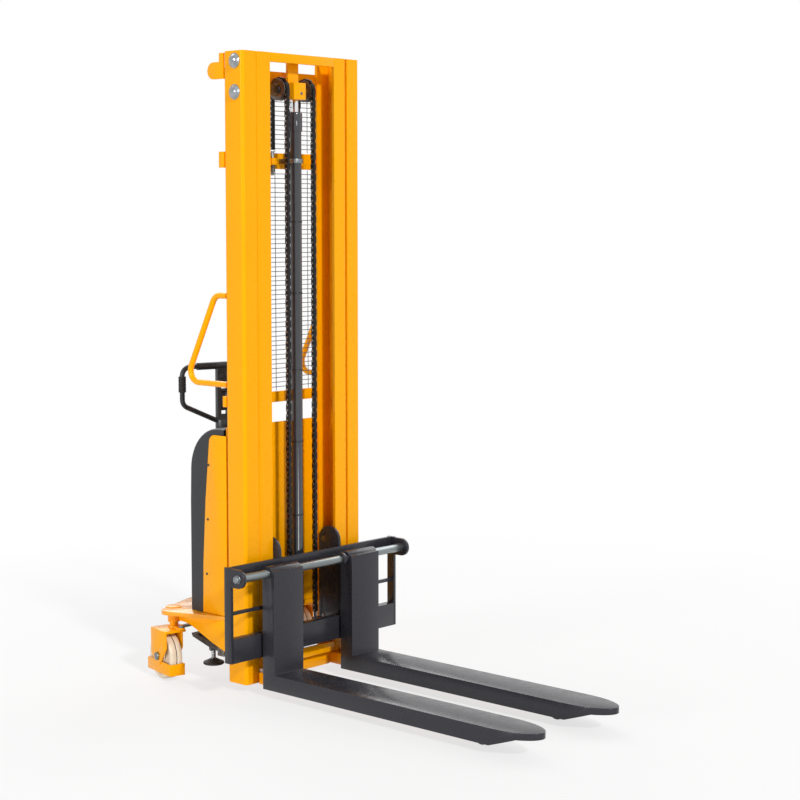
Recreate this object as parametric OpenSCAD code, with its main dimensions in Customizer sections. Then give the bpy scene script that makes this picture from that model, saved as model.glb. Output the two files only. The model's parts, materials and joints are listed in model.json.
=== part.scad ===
// Semi-electric walkie stacker: telescopic mast, straddled fork carriage, hood with battery and pump.
// Origin: floor level, midway between the fork tips and the caster guards. Forks point to -Y.

/* [Mast] */
// Width over the outer uprights
mast_w = 592; // [580:1:600]
// Height of the lowered mast
mast_h = 2295; // [2280:5:2320]
// Depth of the upright channels, front to back
channel_d = 100; // [98:1:104]
// Width of one upright channel, web to flange tip
channel_w = 66; // [62:1:67]
// Web thickness of the upright channels
web_t = 8; // [6:1:10]
// Flange thickness of the upright channels
flange_t = 12; // [10:1:13]
// Radius on the outer corners of the channels
channel_r = 14; // [8:1:15]
// Free height that the inner mast gains
mast_lift = 1600; // [1200:10:1600]

/* [Forks] */
// Length of a fork from the front of its shank to its tip
fork_l = 1150; // [1050:10:1200]
// Width of a fork
fork_w = 145; // [140:1:150]
// Height of the lowered fork's top face
fork_top = 88; // [86:1:90]
// Height of a fork blade's side
fork_side_h = 58; // [52:1:60]
// Height of the top of a fork's shank
shank_top = 462; // [455:1:470]
// Length of the tapered nose
nose_l = 168; // [150:1:180]
// Left edge of the left fork
fork_left_x = -287; // [-290:1:-280]
// Left edge of the right fork
fork_right_x = 111; // [108:1:116]

/* [Carriage] */
// Width over the carriage's side plates
carriage_w = 856; // [840:2:880]
// Diameter of the bar that the forks hang on
bar_d = 30; // [28:1:32]
// Height of the fork bar's centre
bar_z = 450; // [448:1:452]

/* [Chassis] */
// Width of a straddle leg
leg_w = 80; // [76:1:80]
// Height of the base plate's top face
plate_z = 264; // [260:1:268]
// Height of the hood
hood_z = 948; // [940:1:956]
// Depth of the hood's rear face behind the mast's front
hood_y = 303; // [300:1:308]

/* [Wheels] */
// Diameter of a swivel caster's wheel
caster_d = 172; // [160:1:172]
// Width of a swivel caster's wheel
caster_wheel_w = 48; // [44:1:50]
// Angle that the handle and the casters stand at
steer_turn = -13; // [-20:1:20]
// Diameter of a load roller
load_roller_d = 70; // [66:1:72]

/* [Handle] */
// Half the width of the handle's loop, to the middle of its tube
loop_half_w = 176; // [168:1:190]
// Height of the top bar of the loop
loop_top_z = 1145; // [1130:1:1150]
// Distance of the handle behind the mast's front
handle_y = 440; // [436:1:444]

/* [Hidden] */
$fn = 48;
RUN = 0.05;            // radial clearance of a running fit
GAP = 0.5;             // clearance between sliding bodies
SLEEVE_LAP = 1.5;      // how far a straight run of tube reaches over a bend
SLEEVE_T = 0.15;       // how much thicker a straight run of tube is than a bend
outer_x = mast_w / 2;
inner_x = outer_x - channel_w - 2;
inner_tip_x = inner_x - channel_w;
shank_front_y = -134.7;
shank_back_y = -75;
fork_tip_y = shank_front_y - fork_l;
fork_bottom = fork_top - fork_side_h;
nose_y = fork_tip_y + nose_l;
bar_y = -100.6;
carriage_back_y = -30;
carriage_front_y = -64;
side_plate_t = 12;
upright_z = 30;
inner_z = 78;
leg_in_x = 160;
leg_top = 69;
leg_bottom = 27;
roller_y = -1030;
plate_t = 15;
kingpin_x = 300;
kingpin_y = 391;
caster_out = 34;
guard_reach = caster_d / 2 + 2.5;
guard_half_w = 31;
fork_half_w = 36;
crank_r = 60;
crank_z = 187;
rear_y = kingpin_y + guard_reach * cos(steer_turn) + (caster_out + guard_half_w) * abs(sin(steer_turn));
mast_y = -(fork_tip_y + rear_y) / 2;
chain_x = 66;
chain_y = 52;
chain_z = 2170;
chain_r = 39;
chain_t = 15;
cylinder_y = 38;
anchor_z = 1950;
lug_z = 222;
mast_roller_z = 140;
lower_roller_z = 205;
upper_roller_z = 500;
carriage_roller_r = 37.6;
handle_pivot_z = 335;
lock_x = -196;
lock_y = 226;
lock_z = 106;
foot_y = 288;
foot_pin_z = 104;
panel_z = 640;
YELLOW = "orange";
SLATE = "dimgray";

// ---------- helpers ----------

function unit(v) = v / norm(v);
function cross2(a, b) = a[0] * b[1] - a[1] * b[0];

// Moves a piece from the mast's frame, where Y is 0 on the mast's front, to the part's frame.
module at_mast() {
    translate([0, mast_y, 0]) children();
}

// Shows a piece on the right, or its mirror image on the left.
module on_side(side) {
    if (side > 0) children();
    else mirror([1, 0, 0]) children();
}

module both_sides() {
    on_side(1) children();
    on_side(-1) children();
}

// Stands a drawing made in Y and Z upright, and runs its thickness from x to larger X.
module side_view(x) {
    translate([x, 0, 0]) rotate([90, 0, 90]) children();
}

module block(x, y, z) {
    translate([x[0], y[0], z[0]]) cube([x[1] - x[0], y[1] - y[0], z[1] - z[0]]);
}

// A round bar along X between two places.
module bar_x(x, y, z, r) {
    translate([x[0], y, z]) rotate([0, 90, 0]) cylinder(h = x[1] - x[0], r = r);
}

module bar_y_axis(x, y, z, r) {
    translate([x, y[0], z]) rotate([-90, 0, 0]) cylinder(h = y[1] - y[0], r = r);
}

// A hexagon head along X.
module hex_x(x, y, z, af) {
    translate([x[0], y, z]) rotate([0, 90, 0]) cylinder(h = x[1] - x[0], r = af / sqrt(3), $fn = 6);
}

// A tube in the plane of its points, with round bends at the inner points. The straight runs are
// a trace thicker and lap over the bends.
module bent_bar(points, bend, r) {
    last = len(points) - 1;
    cut = [for (i = [0:last]) i == 0 || i == last ? 0 :
           bend * tan(acos(unit(points[i] - points[i - 1]) * unit(points[i + 1] - points[i])) / 2)];
    for (i = [0:last - 1]) {
        along = unit(points[i + 1] - points[i]);
        lap = [i == 0 ? 0 : SLEEVE_LAP, i == last - 1 ? 0 : SLEEVE_LAP];
        start = points[i] + along * (cut[i] - lap[0]);
        run = norm(points[i + 1] - points[i]) - cut[i] - cut[i + 1] + lap[0] + lap[1];
        translate(start) rotate([0, 0, atan2(along[1], along[0])]) rotate([0, 90, 0])
            cylinder(h = run, r = r + SLEEVE_T);
    }
    for (i = [1:last - 1]) {
        into = unit(points[i] - points[i - 1]);
        out = unit(points[i + 1] - points[i]);
        turn = acos(into * out) * sign(cross2(into, out));
        side = sign(turn);
        start = points[i] - into * cut[i];
        centre = start + [-into[1], into[0]] * side * bend;
        translate(centre) rotate([0, 0, atan2(into[1], into[0]) - 90 * side])
            rotate_extrude(angle = turn) translate([bend, 0]) circle(r);
    }
}

// An open channel seen from above, web on the right, flanges to the left.
module channel_profile(w, d) {
    difference() {
        union() {
            translate([-w, 0]) square([w - channel_r, d]);
            translate([-channel_r, channel_r]) square([channel_r, d - 2 * channel_r]);
            translate([-channel_r, channel_r]) circle(channel_r);
            translate([-channel_r, d - channel_r]) circle(channel_r);
        }
        translate([-w - 1, flange_t]) square([w - web_t + 1, d - 2 * flange_t]);
    }
}

module upright(x, z) {
    translate([x, 0, z]) linear_extrude(mast_h - z) channel_profile(channel_w, channel_d);
}

// ---------- fixed mast ----------

module outer_upright(side) {
    color(YELLOW) at_mast() on_side(side) upright(outer_x, upright_z);
}

module mast_top_plate() {
    ear_z = 2229;
    color(YELLOW) at_mast() {
        block([-outer_x, outer_x], [channel_d, channel_d + 8], [2199, 2238]);
        block([-222, 222], [channel_d, channel_d + 8], [2150, 2199]);
        both_sides() side_view(outer_x - 8) linear_extrude(8) {
            translate([channel_d + GAP, 2236]) square([21, 54]);
            translate([channel_d + 8, ear_z - 30]) square([45, 60]);
            translate([channel_d + 53, ear_z]) circle(30);
        }
    }
}

module cross_channel(z, depth) {
    block([-outer_x, outer_x], [channel_d, channel_d + 8], z);
    block([-outer_x, outer_x], [channel_d + 8, channel_d + depth], [z[0], z[0] + 8]);
    block([-outer_x, outer_x], [channel_d + 8, channel_d + depth], [z[1] - 8, z[1]]);
    both_sides() block([outer_x - 6, outer_x], [channel_d + 8, channel_d + depth], [z[0] + 8, z[1] - 8]);
}

module mast_mid_beam() {
    color(YELLOW) at_mast() {
        difference() {
            union() {
                cross_channel([1886, 1943], 26);
                both_sides() block([chain_x - 14, chain_x + 14], [78, channel_d], [1900, 1925]);
            }
            both_sides() translate([chain_x, chain_y + chain_r, 1890]) cylinder(h = 40, r = 7);
        }
    }
}

module mast_low_beam() {
    color(YELLOW) at_mast() cross_channel([1030, 1069], 16);
}

module base_beam() {
    color(YELLOW) at_mast() {
        difference() {
            block([-leg_in_x, leg_in_x], [30, channel_d], [24, 70]);
            block([-leg_in_x + 20, leg_in_x - 20], [38, channel_d - 8], [20, 62]);
        }
    }
}

// An open-bottomed leg with a fork end that holds the load roller.
module leg(side) {
    color(YELLOW) at_mast() on_side(side) difference() {
        union() {
            block([leg_in_x, leg_in_x + leg_w], [roller_y + 45, -5], [leg_bottom, leg_top]);
            block([leg_in_x, outer_x - channel_w], [-5, channel_d], [leg_bottom, leg_top]);
            for (x = [leg_in_x + 4, leg_in_x + leg_w - 14]) side_view(x) linear_extrude(10) {
                translate([roller_y, 38]) circle(20);
                translate([roller_y, 27]) square([46, leg_top - 27]);
            }
        }
        block([leg_in_x + 8, outer_x - channel_w - 8], [-30, channel_d - 8], [0, leg_top - 8]);
        block([leg_in_x + 8, leg_in_x + leg_w - 8], [roller_y + 53, -20], [0, leg_top - 8]);
        bar_x([leg_in_x, leg_in_x + leg_w], roller_y, load_roller_d / 2, 8);
    }
}

module load_roller(side) {
    z = load_roller_d / 2;
    color("darkslategray") at_mast() on_side(side) {
        bar_x([leg_in_x + 23, leg_in_x + leg_w - 23], roller_y, z, load_roller_d / 2);
        bar_x([leg_in_x + 4, leg_in_x + leg_w - 4], roller_y, z, 8 - RUN);
    }
}

// ---------- chassis ----------

module base_outline() {
    half = [[0, 104], [outer_x - 1, 104], [outer_x - 1, 125], [375, 338], [378, 352], [376, 368],
            [368, 382], [354, 392], [170, 464], [120, 474], [0, 478]];
    polygon(half);
    mirror([1, 0]) polygon(half);
}

module base_plate() {
    color(YELLOW) at_mast() difference() {
        union() {
            translate([0, 0, plate_z - plate_t]) linear_extrude(plate_t) base_outline();
            both_sides() translate([kingpin_x, kingpin_y, 208]) cylinder(h = 42, r = 23);
            translate([0, handle_y, 208]) cylinder(h = 42, r = 27);
        }
        both_sides() translate([kingpin_x, kingpin_y, 200]) cylinder(h = 80, r = 16);
        translate([0, handle_y, 200]) cylinder(h = 80, r = 20);
        translate([0, 190, 240]) cylinder(h = 40, r = 10);
    }
}

module gussets() {
    plate = [[channel_d, plate_z - plate_t], [kingpin_y - 23, plate_z - plate_t], [kingpin_y - 23, 212],
             [350, 213], [325, 211], [300, 205], [270, 194], [240, 181], [190, 160], [channel_d, 130]];
    color(YELLOW) at_mast() both_sides() side_view(outer_x - 8) linear_extrude(8) polygon(plate);
}

module bearing_caps() {
    color("gold") at_mast() both_sides() translate([kingpin_x, kingpin_y, plate_z]) {
        rotate_extrude() polygon([[0, 0], [30, 0], [30, 1.5], [27, 3], [0, 3.5]]);
    }
}

// Side outline of the hood; inset moves it inwards for the inside of the shell.
function hood_curve(inset) = [for (a = [90:-7.5:0])
    [150 + (hood_y - 153 - inset) * cos(a), 790 + (hood_z - 790 - inset) * sin(a)]];

module hood_outline(inset) {
    polygon(concat([[116, plate_z + 2], [116, hood_z - inset]], hood_curve(inset),
                   [[hood_y - inset, 674], [hood_y - inset, plate_z + 2]]));
}

// Side outline of a yellow side panel; grow widens it for its place in the hood.
module panel_outline(grow) {
    curve = [for (a = [0:15:90]) [166 + grow + 29 * sin(a), 895 + grow + 29 * cos(a)]];
    polygon(concat([[104, plate_z + 2], [104, 924 + grow]], curve,
                   [[216 + grow, 683], [230 + grow, 460], [234 + grow, plate_z + 2]]));
}

module rear_cover() {
    wall = 4;
    half = outer_x - 2;
    color("darkslategray") at_mast() difference() {
        side_view(-half) linear_extrude(2 * half) hood_outline(0);
        side_view(-half + wall) linear_extrude(2 * half - 2 * wall) hood_outline(wall);
        block([-half + wall, half - wall], [112, 150], [0, hood_z - wall]);
        both_sides() side_view(half - wall - 1) linear_extrude(wall + 2) panel_outline(1);
        bar_y_axis(120, [hood_y - 10, hood_y + 10], panel_z, 8 + GAP);
        bar_y_axis(60, [hood_y - 10, hood_y + 10], panel_z, 9 + GAP);
        block([-50, 10], [hood_y - 10, hood_y + 10], [panel_z - 14, panel_z + 14]);
    }
}

module side_panels() {
    color(YELLOW) at_mast() both_sides()
        side_view(outer_x - 6) linear_extrude(4) panel_outline(0);
}

module panel_screws() {
    spots = [[206, 812], [211, 612], [219, 410]];
    color("black") at_mast() both_sides() for (p = spots)
        translate([outer_x - 2, p[0] - 8, p[1]]) rotate([0, 90, 0])
            rotate_extrude() polygon([[0, 0], [5, 0], [4, 2], [0, 2.5]]);
}

module front_panel() {
    color(YELLOW) at_mast() block([-outer_x + 8, outer_x - 8], [104, 108], [plate_z + 2, 956]);
}

module battery() {
    color("black") at_mast() {
        block([-150, 150], [204, 290], [plate_z, 470]);
        block([-150, 150], [124, 178], [plate_z, 470]);
        block([20, 150], [178, 204], [plate_z, 470]);
        for (x = [-110, 110]) translate([x, 240, 470]) cylinder(h = 14, r = 9);
        block([-150, -146], [122, 124], [300, 460]);
    }
}

module pump_unit() {
    color("silver") at_mast() {
        block([-120, 60], [140, 270], [500, 660]);
        translate([-30, 205, 660]) cylinder(h = 170, r = 58);
        translate([-30, 205, 830]) cylinder(h = 12, r = 40);
    }
}

module charger() {
    color("gray") at_mast() difference() {
        block([90, 240], [130, 200], [520, 760]);
        for (i = [0:8]) block([100, 230], [196, 204], [540 + 22 * i, 550 + 22 * i]);
    }
}

module stop_button() {
    color("red") at_mast() translate([120, hood_y, panel_z]) rotate([-90, 0, 0]) rotate_extrude()
        polygon([[0, -28], [8, -28], [8, 9], [15, 9], [17, 12], [17, 18], [13, 24], [0, 26]]);
}

module key_switch() {
    color("silver") at_mast() translate([60, hood_y, panel_z]) rotate([-90, 0, 0]) {
        rotate_extrude() polygon([[0, -24], [9, -24], [9, 1], [12, 1], [12, 5], [0, 5]]);
        block([-1.5, 1.5], [-9, 9], [5, 26]);
    }
}

// ---------- lift cylinder ----------

module lift_cylinder() {
    color("dimgray") at_mast() translate([0, cylinder_y, 0]) rotate_extrude()
        polygon([[0, 70], [24, 70], [24, 84], [21.5, 84], [21.5, 2020], [25, 2020], [25, 2085], [22, 2091],
                 [12, 2091], [12, 2030], [16, 2030], [16, 92], [0, 92]]);
}

module piston_rod() {
    color("silver") at_mast() translate([0, cylinder_y, 0]) rotate_extrude()
        polygon([[0, 110], [16 - RUN, 110], [16 - RUN, 150], [12 - RUN, 150], [12 - RUN, 2140], [0, 2140]]);
}

module cylinder_clamp() {
    z = 1914;
    color("silver") at_mast() difference() {
        union() {
            translate([0, cylinder_y, z - 8]) cylinder(h = 16, r = 27);
            block([-27, 27], [cylinder_y, channel_d], [z - 8, z + 8]);
        }
        translate([0, cylinder_y, z - 9]) cylinder(h = 18, r = 21.5);
    }
}

module cable_ties() {
    color("black") at_mast() for (z = [610, 883, 1148, 1430, 1690])
        translate([0, cylinder_y, z]) rotate_extrude() polygon([[21.5, 0], [23, 0], [23, 6], [21.5, 6]]);
}

module hydraulic_hose() {
    color("black") at_mast() side_view(0)
        bent_bar([[cylinder_y + 21.5, 98], [190, 98], [190, 300]], 40, 7);
}

// ---------- guard and rails ----------

module mesh_guard() {
    wire = 1.3;
    half = outer_x - channel_w + 12;
    color("gray") at_mast() {
        for (z = [1086:17:1868]) bar_x([-half, half], channel_d + 1.6, z, wire);
        for (z = [1960:17:2130]) bar_x([-half, half], channel_d + 1.6, z, wire);
        for (x = [-124.5, -41.5, 41.5, 124.5]) {
            translate([x, channel_d + 3.6, 1072]) cylinder(h = 812, r = wire);
            translate([x, channel_d + 3.6, 1946]) cylinder(h = 200, r = wire);
        }
    }
}

module grab_rails() {
    route = [[channel_d, 1430], [163, 1430], [326, 1110], [channel_d, 1110]];
    color(YELLOW) at_mast() both_sides() side_view(outer_x - 11) bent_bar(route, 42, 11);
}

module chain_anchors() {
    color("silver") at_mast() both_sides() translate([chain_x, chain_y + chain_r, 0]) {
        translate([0, 0, 1862]) cylinder(h = 88, r = 6.5);
        for (z = [1874, 1888]) translate([0, 0, z]) cylinder(h = 11.5, r = 10, $fn = 6);
    }
}

module slide_pads() {
    color("silver") at_mast() both_sides() {
        for (z = [2150, 2259]) {
            block([inner_x + 1, outer_x - web_t], [flange_t, channel_d - flange_t], [z - 16, z + 16]);
            translate([outer_x, 40, z]) rotate([0, 90, 0]) rotate_extrude()
                polygon([[0, 0], [27, 0], [27, 3], [22, 3.5], [19, 8], [13, 12], [0, 14]]);
        }
    }
}

// ---------- inner mast ----------

module inner_uprights() {
    color(YELLOW) at_mast() both_sides() difference() {
        upright(inner_x, inner_z);
        bar_x([inner_x - 20, inner_x + 5], channel_d / 2, mast_roller_z, 12);
    }
}

module inner_beams() {
    color(YELLOW) at_mast() {
        block([-inner_tip_x, inner_tip_x], [0, 14], [2262, mast_h]);
        block([-inner_tip_x, inner_tip_x], [14, 64], [2285, mast_h]);
        block([-inner_tip_x, inner_tip_x], [2, 13], [inner_z, 114]);
    }
}

module rod_bracket() {
    color(YELLOW) at_mast() {
        difference() {
            block([-30, 30], [14, 66], [2136, 2196]);
            translate([0, cylinder_y, 2130]) cylinder(h = 24, r = 12 - RUN);
        }
        block([-26, 26], [48, 60], [2196, 2285]);
        both_sides() bar_x([30, 78], chain_y, chain_z, 10);
    }
}

module chain_rollers() {
    groove = chain_r - chain_t / 2 - GAP;
    color("dimgray") at_mast() both_sides() translate([0, chain_y, chain_z]) rotate([0, 90, 0])
        rotate_extrude() polygon([[10 + RUN, 56], [40, 56], [40, 57.5], [groove, 58], [groove, 74], [40, 74.5],
                                  [40, 79], [23, 79], [20, 76], [10 + RUN, 76]]);
}

module chain_front() {
    y = chain_y - chain_r - chain_t / 2;
    color("black") at_mast() both_sides()
        block([chain_x - chain_t / 2, chain_x + chain_t / 2], [y, y + chain_t], [lug_z + 18 + GAP, chain_z]);
}

module chain_rear() {
    y = chain_y + chain_r - chain_t / 2;
    color("black") at_mast() both_sides()
        block([chain_x - chain_t / 2, chain_x + chain_t / 2], [y, y + chain_t], [anchor_z, chain_z]);
}

// Half a turn of chain over each roller.
module chain_wraps() {
    color("black") at_mast() both_sides() translate([chain_x - chain_t / 2, chain_y, chain_z])
        rotate([0, 90, 0]) rotate([0, 0, 90]) rotate_extrude(angle = 180)
            translate([chain_r - chain_t / 2, 0]) square([chain_t, chain_t]);
}

module mast_rollers() {
    color("silver") at_mast() both_sides() {
        bar_x([inner_x + 3, outer_x - web_t - 3], channel_d / 2, mast_roller_z, 37.6);
        bar_x([inner_x - web_t, inner_x + 3], channel_d / 2, mast_roller_z, 12 - RUN);
    }
}

// ---------- carriage ----------

module carriage_sides() {
    color(SLATE) at_mast() both_sides()
        side_view(carriage_w / 2 - side_plate_t) linear_extrude(side_plate_t) difference() {
            union() {
                translate([carriage_front_y, 142]) square([carriage_back_y - carriage_front_y, 343]);
                translate([bar_y, bar_z - 33]) square([carriage_back_y - bar_y, 66]);
                translate([bar_y, bar_z]) circle(33);
            }
            translate([bar_y, bar_z]) circle(8);
        }
}

module carriage_beams() {
    half = carriage_w / 2 - side_plate_t;
    color(SLATE) at_mast() {
        block([-half, half], [-52, -40], [438, 485]);
        both_sides() block([inner_tip_x - 2, half], [-52, -40], [312, 324]);
        difference() {
            block([-half, half], [carriage_front_y, carriage_back_y], [142, 228]);
            block([-half + 10, half - 10], [carriage_front_y + 8, carriage_back_y - 8], [150, 220]);
        }
        both_sides() difference() {
            block([chain_x - 16, chain_x + 16], [carriage_back_y, 14], [lug_z - 16, lug_z]);
            translate([chain_x, chain_y - chain_r, lug_z - 20]) cylinder(h = 30, r = 6);
        }
        both_sides() translate([chain_x, chain_y - chain_r, lug_z - 28]) cylinder(h = 46, r = 6);
        difference() {
            union() {
                block([84, 96], [bar_y, -52], [bar_z - 12, bar_z + 12]);
                bar_x([84, 96], bar_y, bar_z, 24);
            }
            bar_x([80, 100], bar_y, bar_z, bar_d / 2);
        }
    }
}

module roller_brackets() {
    color(SLATE) at_mast() both_sides() side_view(inner_tip_x - 14) linear_extrude(12) difference() {
        union() {
            translate([carriage_back_y, 165]) square([104, upper_roller_z - 165]);
            translate([carriage_back_y + 52, upper_roller_z]) circle(52);
            translate([-40, 238]) square([12, 247]);
        }
        for (z = [lower_roller_z, upper_roller_z]) translate([channel_d / 2, z]) circle(12);
    }
}

module carriage_roller_pair(z) {
    color("silver") at_mast() both_sides() {
        bar_x([inner_tip_x + 2, inner_x - web_t - 3], channel_d / 2, z, carriage_roller_r);
        bar_x([inner_tip_x - 14, inner_tip_x + 2], channel_d / 2, z, 12 - RUN);
    }
}

module fork_bar() {
    half = carriage_w / 2 - side_plate_t;
    color("silver") at_mast() bar_x([-half, half], bar_y, bar_z, bar_d / 2);
}

module bar_bolts() {
    out = carriage_w / 2;
    color("silver") at_mast() both_sides() {
        bar_x([out - side_plate_t, out], bar_y, bar_z, 8);
        bar_x([out, out + 2.5], bar_y, bar_z, 15);
        hex_x([out + 2.5, out + 11], bar_y, bar_z, 24);
    }
}

// ---------- forks ----------

// Half an ellipse: the outline of the fork's nose from above, from its root at Y = 0 to its tip.
function nose_curve() = [for (i = [0:24]) let (a = 7.5 * i) [fork_w / 2 * cos(a), -nose_l * sin(a)]];

module fork_nose() {
    side = [[0, fork_top], [-nose_l, fork_top], [-nose_l, fork_top - 22], [-nose_l * 0.6, fork_top - 25],
            [0, fork_bottom]];
    intersection() {
        translate([0, 0, fork_bottom]) linear_extrude(fork_side_h) polygon(nose_curve());
        side_view(-fork_w / 2) linear_extrude(fork_w) polygon(side);
    }
}

module fork(x) {
    mid = x + fork_w / 2;
    wall = 6;
    skin = 8;
    pad = 9;
    color(SLATE) at_mast() translate([mid, 0, 0]) {
        difference() {
            block([-fork_w / 2, fork_w / 2], [nose_y, shank_back_y], [fork_bottom, fork_top]);
            block([-fork_w / 2 + wall, fork_w / 2 - wall], [nose_y, shank_back_y + 1],
                  [fork_bottom - 1, fork_top - skin]);
        }
        difference() {
            union() {
                block([-fork_w / 2, fork_w / 2], [shank_front_y, shank_back_y], [fork_top - skin, shank_top]);
                bar_x([-fork_w / 2, fork_w / 2], bar_y, bar_z, bar_y * -1 + shank_back_y);
            }
            block([-fork_w / 2 + pad, fork_w / 2 - pad], [shank_front_y + pad, shank_back_y - pad],
                  [fork_top, bar_z - 32]);
            bar_x([-fork_w, fork_w], bar_y, bar_z, bar_d / 2 + RUN);
        }
        block([-fork_w / 2 + 20, fork_w / 2 - 20], [shank_back_y, carriage_front_y - GAP], [160, 205]);
        translate([0, nose_y, 0]) fork_nose();
    }
}

// ---------- casters ----------

// Places a piece at a kingpin, turned as the casters stand. Outboard is +X, rearward is +Y.
module at_kingpin(side) {
    translate([side * kingpin_x, kingpin_y, 0]) rotate([0, 0, steer_turn]) on_side(side) children();
}

// A crank with its pin forward of the pivot, for the tie bar.
module crank() {
    translate([0, 0, crank_z]) cylinder(h = 8, r = 24);
    block([-12, 12], [-crank_r, 0], [crank_z, crank_z + 8]);
    translate([0, -crank_r, crank_z]) cylinder(h = 8, r = 12);
    translate([0, -crank_r, crank_z]) cylinder(h = 19, r = 5 - RUN);
    translate([0, -crank_r, crank_z + 17.2]) cylinder(h = 1.8, r = 8);
}

module caster(side) {
    low = caster_out - fork_half_w;
    high = caster_out + fork_half_w;
    cheek = [[-66, crank_z], [52, crank_z], [50, 92], [22, 62], [-14, 56], [-66, 122]];
    color(YELLOW) at_mast() at_kingpin(side) {
        translate([0, 0, crank_z]) cylinder(h = plate_z - 2 - crank_z, r = 16 - RUN);
        crank();
        difference() {
            union() {
                block([-14, high], [-66, 52], [crank_z - 8, crank_z]);
                for (x = [low, high - 5]) side_view(x) linear_extrude(5) polygon(cheek);
                difference() {
                    block([caster_out - guard_half_w, caster_out + guard_half_w], [-guard_reach, guard_reach],
                          [24, 67]);
                    block([caster_out - guard_half_w + 5, caster_out + guard_half_w - 5],
                          [-guard_reach + 1.8, guard_reach - 1.8], [20, 70]);
                }
            }
            bar_x([low - 1, high + 1], 0, caster_d / 2, 10);
        }
    }
}

module caster_wheel(side) {
    r = caster_d / 2;
    w = caster_wheel_w / 2;
    color("wheat") at_mast() at_kingpin(side) translate([caster_out, 0, r]) rotate([0, 90, 0]) {
        rotate_extrude() polygon([[0, -43], [15, -43], [15, -36.5], [10 - RUN, -36.5], [10 - RUN, -w], [30, -w],
                                  [30, -w + 5], [70, -w + 5], [70, -w], [r - 4, -w], [r, -w + 4], [r, -1.5],
                                  [r - 2.5, 0], [r, 1.5], [r, w - 4], [r - 4, w], [70, w], [70, w - 5],
                                  [30, w - 5], [30, w], [10 - RUN, w], [10 - RUN, 36.5], [15, 36.5],
                                  [15, 43], [0, 43]]);
    }
}

// One bar that joins the cranks of both casters and of the handle's head.
module tie_bar() {
    pin = [crank_r * sin(steer_turn), -crank_r * cos(steer_turn)];
    y = kingpin_y + pin[1];
    head_y = handle_y + pin[1];
    z = [crank_z + 8.5, crank_z + 16.5];
    spots = [[-kingpin_x + pin[0], y], [kingpin_x + pin[0], y], [pin[0], head_y]];
    color("silver") at_mast() difference() {
        union() {
            block([-kingpin_x + pin[0], kingpin_x + pin[0]], [y - 10, y + 10], z);
            block([pin[0] - 10, pin[0] + 10], [y, head_y], z);
            for (p = spots) translate([p[0], p[1], z[0]]) cylinder(h = 8, r = 11);
        }
        for (p = spots) translate([p[0], p[1], z[0] - 1]) cylinder(h = 10, r = 5);
    }
}

// ---------- handle ----------

// Places a piece at the handle's head, turned as the handle stands.
module at_head() {
    translate([0, handle_y, 0]) rotate([0, 0, steer_turn]) children();
}

module steer_head() {
    color(YELLOW) at_mast() at_head() {
        translate([0, 0, crank_z]) cylinder(h = plate_z + 1 - crank_z, r = 20 - RUN);
        crank();
        difference() {
            union() {
                translate([0, 0, plate_z + 0.5]) cylinder(h = 11.5, r = 36);
                for (x = [-34, 24.5]) side_view(x) linear_extrude(9.5) {
                    translate([-26, plate_z + 8]) square([52, handle_pivot_z - plate_z - 8]);
                    translate([0, handle_pivot_z]) circle(26);
                }
            }
            bar_x([-40, 40], 0, handle_pivot_z, 10);
        }
    }
}

module handle_arm() {
    color("dimgray") at_mast() at_head() {
        bar_x([-36, 36], 0, handle_pivot_z, 10 - RUN);
        bar_x([-23.5, 23.5], 0, handle_pivot_z, 24);
        difference() {
            translate([0, 0, handle_pivot_z + 15]) cylinder(h = 905 - handle_pivot_z - 15, r = 17.5);
            translate([0, 0, handle_pivot_z + 40]) cylinder(h = 600, r = 14);
        }
    }
}

module handle_loop() {
    w = loop_half_w;
    grip_z = 1052;
    route = [[-21, 930], [-w, 1000], [-w, loop_top_z], [w, loop_top_z], [w, 1000], [21, 930]];
    color("black") at_mast() at_head() {
        rotate([90, 0, 0]) bent_bar(route, 34, 9.5);
        for (side = [-1, 1]) translate([side * w, 0, grip_z]) cylinder(h = 56, r = 13);
        difference() {
            block([-29, 29], [-10, 10], [925, loop_top_z - 4]);
            block([-14, 14], [-11, 11], [958, 1064]);
        }
        bar_x([-112, 112], 0, loop_top_z, 14);
        bar_x([-21, 21], 0, 1048, 3);
        difference() {
            translate([0, 0, 893]) cylinder(h = 44, r = 31);
            translate([0, 0, 892]) cylinder(h = 13, r = 17.5);
        }
    }
}

module lowering_lever() {
    color("darkslategray") at_mast() at_head() difference() {
        union() {
            bar_x([-11, 11], 0, 1048, 8);
            block([-8, 8], [-5, 5], [1006, 1048]);
            block([-10, 10], [-8, 8], [972, 1008]);
        }
        bar_x([-20, 20], 0, 1048, 3 + RUN);
    }
}

// ---------- floor lock ----------

module lock_bracket() {
    color("silver") at_mast() difference() {
        union() {
            for (x = [lock_x - 24, lock_x + 20])
                block([x, x + 4], [lock_y - 20, lock_y + 14], [lock_z - 18, plate_z - plate_t]);
            block([lock_x - 24, lock_x + 24], [lock_y - 20, lock_y - 16], [lock_z - 18, plate_z - plate_t]);
        }
        bar_x([lock_x - 30, lock_x + 30], lock_y, lock_z, 6);
    }
}

module lock_pedal() {
    tread = [[lock_y - 9, lock_z - 9], [foot_y + 10, lock_z + 5], [385, 136], [392, 148], [387, 151],
             [foot_y + 10, lock_z + 15], [lock_y - 9, lock_z + 9]];
    color("silver") at_mast() {
        bar_x([lock_x - 24, lock_x + 24], lock_y, lock_z, 6 - RUN);
        difference() {
            side_view(lock_x - 18) linear_extrude(36) polygon(tread);
            block([lock_x - 7, lock_x + 7], [310, 370], [90, 170]);
        }
        difference() {
            for (x = [lock_x - 16, lock_x + 11]) side_view(x) linear_extrude(5) {
                translate([foot_y, foot_pin_z]) circle(8);
                translate([foot_y - 8, foot_pin_z]) square([16, 8]);
            }
            bar_x([lock_x - 20, lock_x + 20], foot_y, foot_pin_z, 4);
        }
    }
}

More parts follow.
